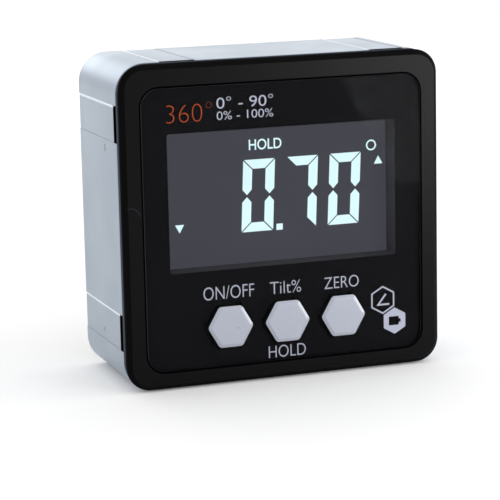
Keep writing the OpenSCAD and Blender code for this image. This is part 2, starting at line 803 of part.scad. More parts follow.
aluminium_body();
magnet(0);  // magnet_left_upper
magnet(1);  // magnet_left_lower
magnet(2);  // magnet_right_upper
magnet(3);  // magnet_right_lower
magnet(4);  // magnet_top_left
magnet(5);  // magnet_top_right
magnet(6);  // magnet_base_left
magnet(7);  // magnet_base_right
front_bezel();
front_seal();
front_panel();
panel_tape();
display_foam();
display_glass();
display_holder();
light_guide();
backlight_lamps();
contact_strip();
main_board();
board_screws();
processor();
tilt_sensor();
clock_crystal();
switch_body(0);  // power_switch
switch_body(1);  // hold_switch
switch_body(2);  // zero_switch
plunger(0);  // power_plunger
plunger(1);  // hold_plunger
plunger(2);  // zero_plunger
key(0);  // power_key
key(1);  // hold_key
key(2);  // zero_key
board_connector();
charging_board();
charging_socket();
charging_screws();
battery_cell();
battery_pad();
battery_leads();
rear_cover();
rear_seal();
cover_screws();
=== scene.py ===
# %% [markdown]
# # A digital angle gauge
#
# The gauge is a square aluminium frame with a black front, a lit display and three keys.
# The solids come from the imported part, so they already have their true place and size.
# This lesson dresses them: first the finishes, then the keys, the lit digits and the printing,
# and at the end a plain pale studio with a camera at the viewing angle of the picture.

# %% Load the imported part
import json
import math

import bmesh
import bpy
from mathutils import Matrix, Quaternion, Vector


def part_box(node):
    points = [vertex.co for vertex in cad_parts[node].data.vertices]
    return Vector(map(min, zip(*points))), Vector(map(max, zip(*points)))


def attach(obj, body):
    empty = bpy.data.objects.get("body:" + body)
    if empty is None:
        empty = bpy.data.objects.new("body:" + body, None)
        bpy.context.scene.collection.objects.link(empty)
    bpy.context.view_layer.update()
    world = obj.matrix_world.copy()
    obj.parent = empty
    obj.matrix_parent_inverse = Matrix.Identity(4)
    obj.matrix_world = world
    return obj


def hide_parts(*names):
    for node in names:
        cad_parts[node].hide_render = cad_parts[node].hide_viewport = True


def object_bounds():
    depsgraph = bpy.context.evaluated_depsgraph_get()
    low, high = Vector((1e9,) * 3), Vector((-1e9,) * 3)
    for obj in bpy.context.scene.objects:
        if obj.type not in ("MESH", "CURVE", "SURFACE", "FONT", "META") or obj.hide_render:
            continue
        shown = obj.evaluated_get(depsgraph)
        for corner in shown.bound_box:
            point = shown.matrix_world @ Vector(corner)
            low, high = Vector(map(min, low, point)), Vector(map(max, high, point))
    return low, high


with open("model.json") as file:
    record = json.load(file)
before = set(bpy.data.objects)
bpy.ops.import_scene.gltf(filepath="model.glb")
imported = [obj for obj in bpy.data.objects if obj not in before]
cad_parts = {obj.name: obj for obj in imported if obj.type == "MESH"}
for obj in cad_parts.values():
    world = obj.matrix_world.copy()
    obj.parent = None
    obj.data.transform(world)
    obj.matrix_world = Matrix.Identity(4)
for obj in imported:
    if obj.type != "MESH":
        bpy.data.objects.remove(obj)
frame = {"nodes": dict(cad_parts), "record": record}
nodes = frame["nodes"]
subparts = frame["record"]["subparts"]
cad_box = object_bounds()
MM = 0.001
print("nodes:", len(nodes), "box in mm:", [[round(v / MM, 2) for v in corner] for corner in cad_box])

# %% [markdown]
# ## Where the visible layers lie
#
# Everything that is added sits on a layer of the part: the front of the keys, the front of the
# bezel, the back of the clear panel and the front of the display glass. Reading these depths
# from the nodes keeps the printing and the digits in place if the part is packed again.

# %% Depths of the layers, in mm
key_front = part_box("power_key")[0][1] / MM
face_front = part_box("front_panel")[0][1] / MM
print_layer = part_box("front_panel")[1][1] / MM
glass_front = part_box("display_glass")[0][1] / MM
print("keys", round(key_front, 2), "panel", round(face_front, 2))
print("print", round(print_layer, 2), "glass", round(glass_front, 2))

# %% [markdown]
# ## Two small tools for finishes
#
# A finish is a node tree. Colours are written as the sRGB hex values that a colour picker
# shows and turned to linear light once. One function adds a node, sets it and links it, so a
# finish reads from top to bottom like a recipe. A Mix node has a set of sockets for every kind
# of data under the same names, so its two colours and its result are picked by number.

# %% Colour and node tools
FIRST = 6
SECOND = 7
MIXED = 2


def linear(code):
    channels = [int(code[i : i + 2], 16) / 255 for i in (1, 3, 5)]
    light = [c / 12.92 if c <= 0.04045 else ((c + 0.055) / 1.055) ** 2.4 for c in channels]
    return (*light, 1.0)


def add(tree, kind, sockets=None, **settings):
    """Adds a node; each socket takes a value, or the output that is linked to it."""
    made = tree.nodes.new(kind)
    for name, value in settings.items():
        setattr(made, name, value)
    for name, value in (sockets or {}).items():
        if isinstance(value, bpy.types.NodeSocket):
            tree.links.new(value, made.inputs[name])
        else:
            made.inputs[name].default_value = value
    return made


def begin(name):
    finish = bpy.data.materials.new(name)
    finish.use_nodes = True
    finish.node_tree.nodes.clear()
    place = add(finish.node_tree, "ShaderNodeTexCoord").outputs["Object"]
    return finish, finish.node_tree, place


def per_metre(size_mm):
    """Noise scale that gives grains of about this size."""
    return 1.0 / (size_mm * MM)


print("grains of 0.2 mm have a noise scale of", per_metre(0.2))

# %% [markdown]
# ## Small marks of use
#
# The gauge has a few marks: a short curved scratch and a rub on the left side, a pale arc on
# the bezel and a speck on the left key. A mark is the part of a circle's line that lies near a
# middle point, found from two distances in the surface; a speck is a circle of no radius. Its
# colour is laid over the colour of the finish.


# %% Marks
def marked(tree, place, colour, marks, mark_colour, strength):
    for centre, radius, width, middle, reach in marks:
        to_centre, to_middle = [
            add(tree, "ShaderNodeVectorMath", {0: place, 1: Vector(point) * MM}, operation="DISTANCE")
            for point in (centre, middle)
        ]
        ring = {0: to_centre.outputs["Value"], 1: radius * MM, 2: width * MM / 2}
        line = add(tree, "ShaderNodeMath", ring, operation="COMPARE").outputs[0]
        disc = {0: to_middle.outputs["Value"], 1: reach * MM}
        near = add(tree, "ShaderNodeMath", disc, operation="LESS_THAN").outputs[0]
        both = add(tree, "ShaderNodeMath", {0: line, 1: near}, operation="MULTIPLY").outputs[0]
        share = add(tree, "ShaderNodeMath", {0: both, 1: strength}, operation="MULTIPLY").outputs[0]
        laid_over = {"Factor": share, FIRST: colour, SECOND: linear(mark_colour)}
        colour = add(tree, "ShaderNodeMix", laid_over, data_type="RGBA").outputs[MIXED]
    return colour


# Each mark in mm: centre of its circle, radius, width of the line, middle point and reach
left_side = cad_box[0][0] / MM
SIDE_SCRATCH = ((left_side, -1.85, 39.75), 0.85, 0.4, (left_side, -2.66, 39.75), 0.62)
STRIP_RUB = ((left_side, 4.4, 8.3), 3.0, 0.34, (left_side, 1.4, 8.36), 0.42)
BEZEL_ARC = ((-26.6, face_front, 29.22), 1.57, 0.16, (-25.9, face_front, 30.4), 1.3)
KEY_SPECK = ((-9.03, key_front, 9.57), 0.0, 0.28, (-9.03, key_front, 9.57), 0.14)
print("marks in mm:", [mark[3] for mark in (SIDE_SCRATCH, STRIP_RUB, BEZEL_ARC, KEY_SPECK)])

# %% [markdown]
# ## Bead-blasted anodised aluminium
#
# The frame is an extrusion that was blasted with fine beads and then anodised, which leaves a
# satin metal with no lines in it: broad soft reflections and a grain that is felt more than
# seen. Metallic is 1, the grain drives a small bump, and slow patches in the roughness stand
# for handling. The real grain is about 0.05 mm and is drawn at 0.18 mm so that it shows. The
# same recipe with other tones and grains gives the plated bars, the screws and the foil.

# %% Finish: blasted and plated metals
HANDLED_PATCH = 14


def blasted_metal(name, colour, shade, rough, grain_mm, marks=()):
    finish, tree, place = begin(name)
    fine = {"Vector": place, "Scale": per_metre(grain_mm), "Detail": 3.0}
    grain = add(tree, "ShaderNodeTexNoise", fine).outputs["Fac"]
    slow = {"Vector": place, "Scale": per_metre(HANDLED_PATCH), "Detail": 2.0}
    patches = add(tree, "ShaderNodeTexNoise", slow).outputs["Fac"]
    tones = {"Factor": patches, FIRST: linear(colour), SECOND: linear(shade)}
    tone = add(tree, "ShaderNodeMix", tones, data_type="RGBA").outputs[MIXED]
    spread = {"From Min": 0.3, "From Max": 0.7, "To Min": rough - 0.04, "To Max": rough + 0.05}
    satin = add(tree, "ShaderNodeMapRange", {"Value": patches, **spread})
    bump = add(tree, "ShaderNodeBump", {"Height": grain, "Strength": 0.12, "Distance": 0.00002})
    metal = add(
        tree,
        "ShaderNodeBsdfPrincipled",
        {
            "Base Color": marked(tree, place, tone, marks, "#3F4752", 0.9),
            "Metallic": 1.0,
            "Roughness": satin.outputs["Result"],
            "Normal": bump.outputs["Normal"],
        },
    )
    add(tree, "ShaderNodeOutputMaterial", {"Surface": metal.outputs["BSDF"]})
    return finish


aluminium = blasted_metal("blasted_anodised_aluminium", "#A2ACB7", "#9BA6B2", 0.38, 0.18, [SIDE_SCRATCH])
magnet_plating = blasted_metal("satin_plated_magnet", "#A2ACB7", "#9BA6B2", 0.38, 0.14, [STRIP_RUB])
screw_plating = blasted_metal("zinc_plated_steel", "#9A9DA3", "#83878D", 0.3, 0.1)
battery_foil = blasted_metal("laminated_foil", "#C3C6CA", "#AEB2B7", 0.34, 0.6)
print("metals:", aluminium.name, magnet_plating.name, screw_plating.name, battery_foil.name)

# %% [markdown]
# ## Moulded black plastic
#
# The bezel is black ABS. Its front face has a fine satin and shows as dark grey, while the
# bevel round it, the recess walls and the end stops are dull and painted darker still, as
# painted shade. The narrow rim behind the bevel is painted blue grey, as a painted reflection
# beside the bright frame, and behind the panel the plastic round the window is painted grey,
# as painted light from the backlight. The change follows the depth of the surface, so Object Y
# picks the tone.

# %% Finish: bezel plastic
# Depths in mm where the painted shade, the painted rim reflection and the painted grey backlight start and
# stop
DULL_SHADED_FROM = (face_front + 0.01, face_front + 0.05)
RIM_SHEEN_FROM = (face_front + 1.19, face_front + 1.21)
RIM_SHEEN_TO = (face_front + 2.2, face_front + 2.16)
BACKLIT_GREY_FROM = (print_layer + 0.05, print_layer + 0.15)
WINDOW_REACH = {"X": 23, "Z": 15}


def depth_step(tree, place, start_mm, end_mm):
    """0 in front of the start and 1 behind the end; an end before the start falls instead."""
    depth = add(tree, "ShaderNodeSeparateXYZ", {"Vector": place}).outputs["Y"]
    step = {"Value": depth, "From Min": start_mm * MM, "From Max": end_mm * MM}
    return add(tree, "ShaderNodeMapRange", step).outputs["Result"]


def near_window(tree, place):
    """1 beside the display window, 0 out at the rim."""
    where = add(tree, "ShaderNodeSeparateXYZ", {"Vector": place}).outputs
    middle = [(a + b) / 2 for a, b in zip(*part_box("display_glass"))]
    masks = []
    for axis, reach in WINDOW_REACH.items():
        from_middle = {0: where[axis], 1: middle["XYZ".index(axis)]}
        away = add(tree, "ShaderNodeMath", from_middle, operation="SUBTRACT").outputs[0]
        size = add(tree, "ShaderNodeMath", {0: away}, operation="ABSOLUTE").outputs[0]
        masks.append(add(tree, "ShaderNodeMath", {0: size, 1: reach * MM}, operation="LESS_THAN").outputs[0])
    return add(tree, "ShaderNodeMath", {0: masks[0], 1: masks[1]}, operation="MULTIPLY").outputs[0]


def bezel_plastic():
    finish, tree, place = begin("moulded_abs_bezel")
    fine = {"Vector": place, "Scale": per_metre(0.22), "Detail": 2.0}
    grain = add(tree, "ShaderNodeTexNoise", fine).outputs["Fac"]
    # The dull depths are also painted darker than the front: painted shade.
    dull = depth_step(tree, place, *DULL_SHADED_FROM)
    # The rim's blue grey is a painted reflection.
    rim_steps = {0: depth_step(tree, place, *RIM_SHEEN_FROM), 1: depth_step(tree, place, *RIM_SHEEN_TO)}
    painted_rim_sheen = add(tree, "ShaderNodeMath", rim_steps, operation="MULTIPLY").outputs[0]
    # The grey round the window behind the panel is painted light from the backlight.
    backlight_steps = {0: depth_step(tree, place, *BACKLIT_GREY_FROM), 1: near_window(tree, place)}
    inside = add(tree, "ShaderNodeMath", backlight_steps, operation="MULTIPLY").outputs[0]
    tone = linear("#08080A")
    for share, colour in ((dull, "#020203"), (painted_rim_sheen, "#40454E"), (inside, "#434348")):
        tones = {"Factor": share, FIRST: tone, SECOND: linear(colour)}
        tone = add(tree, "ShaderNodeMix", tones, data_type="RGBA").outputs[MIXED]
    gloss = add(tree, "ShaderNodeMapRange", {"Value": dull, "To Min": 0.3, "To Max": 0.8})
    bump = add(tree, "ShaderNodeBump", {"Height": grain, "Strength": 0.15, "Distance": 0.00002})
    plastic = add(
        tree,
        "ShaderNodeBsdfPrincipled",
        {
            "Base Color": marked(tree, place, tone, [BEZEL_ARC], "#34333A", 0.4),
            "Roughness": gloss.outputs["Result"],
            "Specular IOR Level": 0.07,
            "Normal": bump.outputs["Normal"],
        },
    )
    add(tree, "ShaderNodeOutputMaterial", {"Surface": plastic.outputs["BSDF"]})
    return finish


bezel_abs = bezel_plastic()
print("bezel:", bezel_abs.name)

# %% [markdown]
# ## Plain mouldings, rubber, foam and boards
#
# The other pieces are dull or lacquered and mostly hidden. One recipe serves them: two close
# tones mixed by a noise of the right grain, with a bump from the same noise. Only the colours,
# roughness, grain, shine and relief change from one to the next. A finish can also stop at a
# depth, behind which it is dull and painted near-black as painted shade.


# %% Finish: grained plastics and rubbers
def grained(name, colour, shade, rough, grain_mm, shine=0.5, relief=0.15, marks=(), painted_shade=None):
    finish, tree, place = begin(name)
    fine = {"Vector": place, "Scale": per_metre(grain_mm), "Detail": 3.0}
    grain = add(tree, "ShaderNodeTexNoise", fine).outputs["Fac"]
    tones = {"Factor": grain, FIRST: linear(colour), SECOND: linear(shade)}
    tone = add(tree, "ShaderNodeMix", tones, data_type="RGBA").outputs[MIXED]
    spread = {"Value": grain, "To Min": rough - 0.05, "To Max": rough + 0.05}
    dull = add(tree, "ShaderNodeMapRange", spread).outputs["Result"]
    bump = add(tree, "ShaderNodeBump", {"Height": grain, "Strength": relief, "Distance": 0.00003})
    skin = marked(tree, place, tone, marks, "#6E727C", 0.6)
    # Behind this depth the colour is painted near-black: painted shade.
    if painted_shade:
        edge_mm, shade_colour = painted_shade
        behind = depth_step(tree, place, edge_mm, edge_mm + 0.02)
        shade_mix = {"Factor": behind, FIRST: skin, SECOND: linear(shade_colour)}
        skin = add(tree, "ShaderNodeMix", shade_mix, data_type="RGBA").outputs[MIXED]
        dull = add(tree, "ShaderNodeMix", {"Factor": behind, "A": dull, "B": 1.0}).outputs[0]
    body = add(
        tree,
        "ShaderNodeBsdfPrincipled",
        {
            "Base Color": skin,
            "Roughness": dull,
            "Specular IOR Level": shine,
            "Normal": bump.outputs["Normal"],
        },
    )
    add(tree, "ShaderNodeOutputMaterial", {"Surface": body.outputs["BSDF"]})
    return finish


# %% [markdown]
# ## What each of them is
#
# The rear cover comes from a spark-eroded mould and is an even dull black. Rubber and foam take
# nearly all light, though the foam is painted grey, as painted light from the backlight. The
# near-black filler in the groove and the slot ends is painted shade that takes all light. The
# film behind the panel is matt, and the panel's own edge is polished. White ABS and milky
# acrylic spread the backlight. Lacquer on the board has a soft shine, and component resin none.
# The beads that bond the bars are a grey filled adhesive and a near-white one, a painted
# highlight, with some gloss.

# %% Finishes: grained plastics and rubbers
cover_abs = grained("eroded_abs_cover", "#242529", "#1D1E21", 0.52, 0.25, 0.4)
seal_rubber = grained("nitrile_rubber", "#121214", "#0B0B0C", 0.7, 0.4, 0.3)
black_film = grained("black_adhesive_film", "#0E0E11", "#0D0D0F", 0.7, 2.0, 0.03, 0.0)
# The foam's grey is painted light from the backlight.
black_foam = grained("foam_painted_backlight", "#424248", "#3C3C42", 0.9, 0.3, 0.05, 0.3)
white_abs = grained("white_abs", "#E6E6E3", "#DDDDDA", 0.45, 0.3)
guide_acrylic = grained("milky_acrylic", "#F0F2F4", "#E6E9EC", 0.25, 1.2)
lamp_resin = grained("lamp_resin", "#F1EDC4", "#E4DEA8", 0.3, 0.4)
board_lacquer = grained("green_board_lacquer", "#1D4A2B", "#173C23", 0.35, 0.8)
chip_resin = grained("component_resin", "#202022", "#19191B", 0.55, 0.2)
lead_insulation = grained("wire_insulation", "#A22A22", "#8C231C", 0.4, 0.5)
# Near-black filler for the groove and the slot ends: painted shade.
shade_black = grained("painted_shade_black", "#020203", "#010102", 0.9, 0.3, 0.0, 0.0)
polished_edge = grained("polished_panel_edge", "#0D0D10", "#0B0B0D", 0.18, 0.6, 0.3, 0.0)
grey_bead = grained("filled_adhesive", "#A9B2BD", "#A2ACB8", 0.5, 0.3, 0.3)
# The near-white bead is a painted highlight along the bars.
highlight_bead = grained("painted_highlight_bead", "#F1F5FA", "#EBF0F7", 0.3, 0.3, 0.4)
print("finishes so far:", len(bpy.data.materials))

# %% [markdown]
# ## Silver-coated keys
#
# The front of the keys has a pale silver coat. The coat is slightly cool and glossy enough to
# give a bright line on a slope that faces the light. Behind the lip the key is dull and painted
# near-black, as painted shade, so the gap round a key is dark.

# %% Finish: key coat
# Depth and colour of the painted shade behind the key's lip.
PAINTED_SHADE_FROM = (key_front + 0.4, "#020203")
key_coat = grained(
    "silver_coated_plastic", "#A2A6B2", "#9CA0AD", 0.22, 0.35, 0.7, 0.05, [KEY_SPECK], PAINTED_SHADE_FROM
)
print("keys:", key_coat.name)

# %% [markdown]
# ## The clear panel
#
# The panel is polished acrylic with a hard coat. It is so thin and flat that it hardly bends
# what lies behind it, so it is drawn as a pane: clear, with a mirror image laid over it that
# grows towards grazing angles. Only its outer side mirrors, because a real coat kills the
# image from the back. The low IOR stands for the coat, which reflects less than bare acrylic.

# %% Finish: panel
COAT_IOR = 1.065
SMEAR = 9


def clear_panel_finish():
    finish, tree, place = begin("hard_coated_acrylic")
    slow = {"Vector": place, "Scale": per_metre(SMEAR), "Detail": 4.0}
    smear = add(tree, "ShaderNodeTexNoise", slow).outputs["Fac"]
    rough = add(tree, "ShaderNodeMapRange", {"Value": smear, "To Min": 0.015, "To Max": 0.05})
    polish = {"Roughness": rough.outputs["Result"], "Color": (1, 1, 1, 1)}
    mirror = add(tree, "ShaderNodeBsdfGlossy", polish).outputs["BSDF"]
    pass_through = add(tree, "ShaderNodeBsdfTransparent").outputs["BSDF"]
    share = add(tree, "ShaderNodeFresnel", {"IOR": COAT_IOR}).outputs["Fac"]
    from_behind = add(tree, "ShaderNodeNewGeometry").outputs["Backfacing"]
    outer = add(tree, "ShaderNodeMath", {0: 1.0, 1: from_behind}, operation="SUBTRACT").outputs[0]
    amount = add(tree, "ShaderNodeMath", {0: share, 1: outer}, operation="MULTIPLY").outputs[0]
    pane = add(tree, "ShaderNodeMixShader", {"Fac": amount, 1: pass_through, 2: mirror})
    add(tree, "ShaderNodeOutputMaterial", {"Surface": pane.outputs["Shader"]})
    return finish


panel_acrylic = clear_panel_finish()
print("panel:", panel_acrylic.name)

# %% [markdown]
# ## Lit things
#
# The display is a dark one with lit digits: the backlight leaks a little through its grey
# filter, and shines fully through the digits. Both are plain Principled surfaces with an
# emission, because a viewer on any other program can show those too.

# %% Finish: display filter and lit segments
HAZE = 18


def lit(name, colour, glow, strength, rough):
    finish, tree, place = begin(name)
    slow = {"Vector": place, "Scale": per_metre(HAZE), "Detail": 1.0}
    haze = add(tree, "ShaderNodeTexNoise", slow).outputs["Fac"]
    full = linear(glow)
    weak = (*[0.9 * c for c in full[:3]], 1.0)
    tone = add(tree, "ShaderNodeMix", {"Factor": haze, FIRST: full, SECOND: weak}, data_type="RGBA")
    face = add(
        tree,
        "ShaderNodeBsdfPrincipled",
        {
            "Base Color": linear(colour),
            "Roughness": rough,
            "Specular IOR Level": 0.05,
            "Emission Color": tone.outputs[MIXED],
            "Emission Strength": strength,
        },
    )
    add(tree, "ShaderNodeOutputMaterial", {"Surface": face.outputs["BSDF"]})
    return finish


display_filter = lit("grey_display_filter", "#0A0A0C", "#44454D", 0.9, 0.5)
lit_segment = lit("lit_segment", "#2A3436", "#DDFBFF", 1.02, 0.5)
print("display:", display_filter.name, lit_segment.name)

# %% [markdown]
# ## Printing inks
#
# The words and signs are screen printed on the back of the panel. Ink is dull and even; a fine
# grain keeps it from looking like a flat fill.

# %% Finish: inks
grey_ink = grained("grey_screen_ink", "#A9ACBB", "#A1A4B3", 0.6, 0.12, 0.05, 0.03)
orange_ink = grained("orange_screen_ink", "#A64A28", "#9C4424", 0.6, 0.12, 0.05, 0.03)
black_ink = grained("black_screen_ink", "#060608", "#08080A", 0.6, 0.12, 0.03, 0.03)
print("inks:", grey_ink.name, orange_ink.name, black_ink.name)

# %% [markdown]
# ## Give every node its finish
#
# The record says which slot each node belongs to, so the list below is by slot and the loop
# does the rest. Only the bezel has a finish of its own within its slot.

# %% Dress the nodes
finish_of_slot = {
    "satin_aluminium": aluminium,
    "plated_magnet": magnet_plating,
    "black_moulding": cover_abs,
    "seal_rubber": seal_rubber,
    "clear_panel": panel_acrylic,
    "black_film": black_film,
    "black_foam": black_foam,
    "display_grey": display_filter,
    "white_moulding": white_abs,
    "guide_acrylic": guide_acrylic,
    "lamp_resin": lamp_resin,
    "board_green": board_lacquer,
    "screw_steel": screw_plating,
    "chip_black": chip_resin,
    "key_silver": key_coat,
    "battery_foil": battery_foil,
    "lead_red": lead_insulation,
}
for part in subparts:
    solid = nodes[part["node"]]
    finish = bezel_abs if part["node"] == "front_bezel" else finish_of_slot[part["material_slot"]]
    solid.data.materials.clear()
    solid.data.materials.append(finish)
print("dressed:", len(subparts))

# %% [markdown]
# ## From a bmesh to a piece
#
# Every new piece is drawn flat, with x to the right and y up, and its thickness along z
# towards the viewer. Standing it up is one turn about X. The piece's object stays at the
# origin and the mesh holds its place.


# %% Piece helper
def stand_up(front_mm):
    """Turns a drawing with z towards the viewer so that it faces the front, at this depth."""
    upright = Matrix.Rotation(math.radians(90), 4, "X")
    return Matrix.Translation((0, front_mm * MM, 0)) @ upright @ Matrix.Scale(MM, 4)


def piece(name, shape, place, finish, body):
    bmesh.ops.transform(shape, matrix=place, verts=shape.verts)
    bmesh.ops.recalc_face_normals(shape, faces=shape.faces)
    mesh = bpy.data.meshes.new(name)
    shape.to_mesh(mesh)
    shape.free()
    mesh.shade_flat()
    mesh.materials.append(finish)
    made = bpy.data.objects.new(name, mesh)
    bpy.context.scene.collection.objects.link(made)
    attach(made, body)
    return made


# %% [markdown]
# ## Flat signs
#
# Digits, arrows and pictograms are thin plates, and a long bar is a thick one. A plate starts
# from the few corners of its outline, becomes one face and is extruded to its thickness. The
# extrusion is given the edges with the faces: then a face on a closed shape moves outwards and
# leaves no copy of itself inside.

# %% Plate helpers
PLATE = 0.02
ROUND = 48


def thicken(shape, faces, height):
    """Extrudes flat faces towards the viewer, or back with a height below zero."""
    faces = list(faces)
    edges = list({e for f in faces for e in f.edges})
    lift = bmesh.ops.extrude_face_region(shape, geom=faces + edges)
    top = [v for v in lift["geom"] if isinstance(v, bmesh.types.BMVert)]
    bmesh.ops.translate(shape, vec=(0, 0, height), verts=top)


def plate(shape, corners, height=PLATE):
    face = shape.faces.new([shape.verts.new((x, z, 0)) for x, z in corners])
    thicken(shape, [face], height)


def ring_plate(shape, x, z, outer, inner, sides=ROUND, turn=0.0):
    """A flat ring, or a polygon's outline with few sides, by spinning its section."""
    start = Vector((math.cos(turn), math.sin(turn), 0))
    rim = ((inner, 0), (outer, 0), (outer, PLATE), (inner, PLATE))
    section = [shape.verts.new(Vector((x, z, 0)) + start * r + Vector((0, 0, h))) for r, h in rim]
    loop = [shape.edges.new(pair) for pair in zip(section, section[1:] + section[:1])]
    bmesh.ops.spin(
        shape,
        geom=section + loop,
        cent=(x, z, 0),
        axis=(0, 0, 1),
        angle=math.tau,
        steps=sides,
        use_merge=True,
        use_duplicate=False,
    )


print("plates are", PLATE, "mm thick")

# %% [markdown]
# ## Hexagonal keys
#
# Each key is a six-sided cap with rounded corners. A lip hangs a little over the neck, which
# leaves a dark gap round it, and a slope rises from the lip to the flat face and catches the
# light on one side. The key starts as a circle of six sides and is extruded. One bevel rounds
# the six upright corners, the lip is extruded and widened, and a row of insets makes the slope
# and its soft edge. The rim that holds the key behind the bezel and the post that meets the
# switch are plain prisms.

# %% Key sizes, in mm
KEY_HALF = 3.44
NECK_HALF = 3.0
NECK_ROUND = 0.36
LIP = 0.08
FACE_STEPS = ((0.44, 0.265), (0.06, 0.025), (0.06, 0.01))
LIP_BACK = -2 * LIP - sum(rise for inwards, rise in FACE_STEPS)
RIM_WIDTH = 0.78
RIM_THICK = 0.8
POST_RADIUS = 1.7
POST_SIDES = 32
OVERLAP = 0.1
TAPE_SPACE = 0.12
BEZEL_PLATE = 1.5
RIM_PLAY = 0.05
HALF_SIDE = math.radians(30)
SHARP = math.radians(8)
rim_front = key_front - (print_layer + TAPE_SPACE + BEZEL_PLATE + RIM_PLAY)
rim_back = rim_front - RIM_THICK
print("rim from", round(rim_back, 2), "to", round(rim_front, 2), "mm, lip from", round(LIP_BACK, 2))


# %% Keys
def prism(shape, sides, radius, back, front):
    ring = bmesh.ops.create_circle(shape, cap_ends=True, segments=sides, radius=radius)["verts"]
    bmesh.ops.rotate(shape, cent=(0, 0, 0), matrix=Matrix.Rotation(HALF_SIDE, 3, "Z"), verts=ring)
    bmesh.ops.translate(shape, vec=(0, 0, back), verts=ring)
    thicken(shape, {f for v in ring for f in v.link_faces}, front - back)


def front_face(shape):
    return max(shape.faces, key=lambda f: (round(f.calc_center_median().z, 4), f.calc_area()))


def key_shape(tip):
    shape = bmesh.new()
    prism(shape, 6, NECK_HALF / math.cos(HALF_SIDE), rim_back + OVERLAP, LIP_BACK)
    bmesh.ops.bevel(
        shape,
        geom=[e for e in shape.edges if abs(e.verts[0].co.z - e.verts[1].co.z) > LIP],
        offset=NECK_ROUND,
        offset_type="OFFSET",
        segments=8,
        profile=0.5,
        affect="EDGES",
        material=-1,
    )
    bmesh.ops.recalc_face_normals(shape, faces=shape.faces)
    for widen in (KEY_HALF / NECK_HALF, 1):
        thicken(shape, [front_face(shape)], LIP)
        bmesh.ops.scale(shape, vec=(widen, widen, 1), verts=front_face(shape).verts)
    face = front_face(shape)
    for inwards, rise in FACE_STEPS:
        bmesh.ops.inset_region(shape, faces=[face], thickness=inwards, depth=rise, use_even_offset=True)
    prism(shape, 6, (KEY_HALF + RIM_WIDTH) / math.cos(HALF_SIDE), rim_back, rim_front)
    prism(shape, POST_SIDES, POST_RADIUS, tip, rim_back + OVERLAP)
    return shape


def make_key(node, body):
    low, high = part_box(node)
    middle = Matrix.Translation(((low[0] + high[0]) / 2, 0, (low[2] + high[2]) / 2))
    shape = key_shape(key_front - high[1] / MM)
    made = piece(node + "_cap", shape, middle @ stand_up(key_front), key_coat, body)
    made.data.shade_smooth()
    made.data.set_sharp_from_angle(angle=SHARP)
    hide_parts(node)
    return made


for node, body in (("power_key", "power_button"), ("hold_key", "hold_button"), ("zero_key", "zero_button")):
    cap = make_key(node, body)
    print(cap.name, "front at", round(min(v.co.y for v in cap.data.vertices) / MM, 3), "mm")

# %% [markdown]
# ## The groove round the panel
#
# The panel's edge is polished to a small slope, and a near-black strip lies in the groove
# between it and the bezel, a little below the front, as painted shade in the groove. Both start
# as one face with the panel's outline, whose corners are rounded by a bevel of its vertices.
# Insets step inwards from there, the middle is taken out, and the ring that is left is extruded
# back.

# %% Panel edge and groove seal
PANEL_ROUND = 3
EDGE_STEPS = ((0.085, 0.09), (0.03, 0.01))
SHADE_STEPS = ((0.26, 0.0),)


def round_panel(name, spread, depth, steps, back, finish):
    low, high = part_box("front_panel")
    left, right = low[0] / MM - spread, high[0] / MM + spread
    base, top = low[2] / MM - spread, high[2] / MM + spread
    outline = ((left, base), (right, base), (right, top), (left, top))
    shape = bmesh.new()
    corners = [shape.verts.new((x, z, -depth)) for x, z in outline]
    shape.faces.new(corners)
    bmesh.ops.bevel(
        shape,
        geom=corners,
        offset=PANEL_ROUND + spread,
        offset_type="OFFSET",
        segments=10,
        profile=0.5,
        affect="VERTICES",
        material=-1,
    )
    bmesh.ops.recalc_face_normals(shape, faces=shape.faces)
    face = front_face(shape)
    for inwards, rise in steps:
        bmesh.ops.inset_region(
            shape, faces=[face], thickness=inwards, depth=rise, use_even_offset=True, use_boundary=True
        )
    bmesh.ops.delete(shape, geom=[face], context="FACES_ONLY")
    thicken(shape, shape.faces, -back)
    return piece(name, shape, stand_up(face_front), finish, "housing")


edge = round_panel("panel_edge", 0.12, 0.1, EDGE_STEPS, 0.25, polished_edge)
# The groove's near-black strip is painted shade.
groove_shade = round_panel("groove_painted_shade", 0.38, 0.15, SHADE_STEPS, 0.3, shade_black)
print(edge.name, len(edge.data.polygons), groove_shade.name, len(groove_shade.data.polygons))

# %% [markdown]
# ## Bonded seams and slot ends
#
# The magnet bars are bonded into their slots. Along one edge of every bar a thin grey bead
# fills the seam almost to the surface, so that edge is only a faint line. Along the other edge
# the bar has a wide slope, and the near-white bead that lies on it is a painted highlight, a
# bright line: at the upper edge on the sides, at the left edge on the top and the base. On the
# top and the base the beads are wiped nearly flush. In front of each bar a near-black pad lies
# on the bezel's end stop and fills the end of the slot, almost to the surface, as painted shade
# in the slot end. All of these are plates with a small section, extruded along the slot. A
# section is given in mm, as steps across from the bar's middle and depths below the surface.

# %% Sections along the slots
FAINT_SECTION = ((2.93, 0.05), (3.06, 0.05), (3.06, 0.3), (2.93, 0.3))
HIGHLIGHT_SECTION = ((2.7, 0.13), (2.78, 0.06), (2.94, 0.04), (3.03, 0.07), (3.05, 0.38), (2.95, 0.42))
PAD_SECTION = ((-2.95, 0.1), (2.95, 0.1), (2.95, 0.98), (-2.95, 0.98))
WIPED = 0.25
PAD_PLAY = 0.02
outer_low, outer_high = [[v / MM for v in corner] for corner in cad_box]
box_middle = [(a + b) / 2 for a, b in zip(outer_low, outer_high)]
bars = [part["node"] for part in subparts if part["node"].startswith("magnet_")]
bar_front, bar_rear = [corner[1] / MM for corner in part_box(bars[0])]
pad_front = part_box("aluminium_body")[0][1] / MM + PAD_PLAY
pad_rear = bar_front - PAD_PLAY
print("bars:", len(bars), "from", round(bar_front, 2), "to", round(bar_rear, 2), "mm")


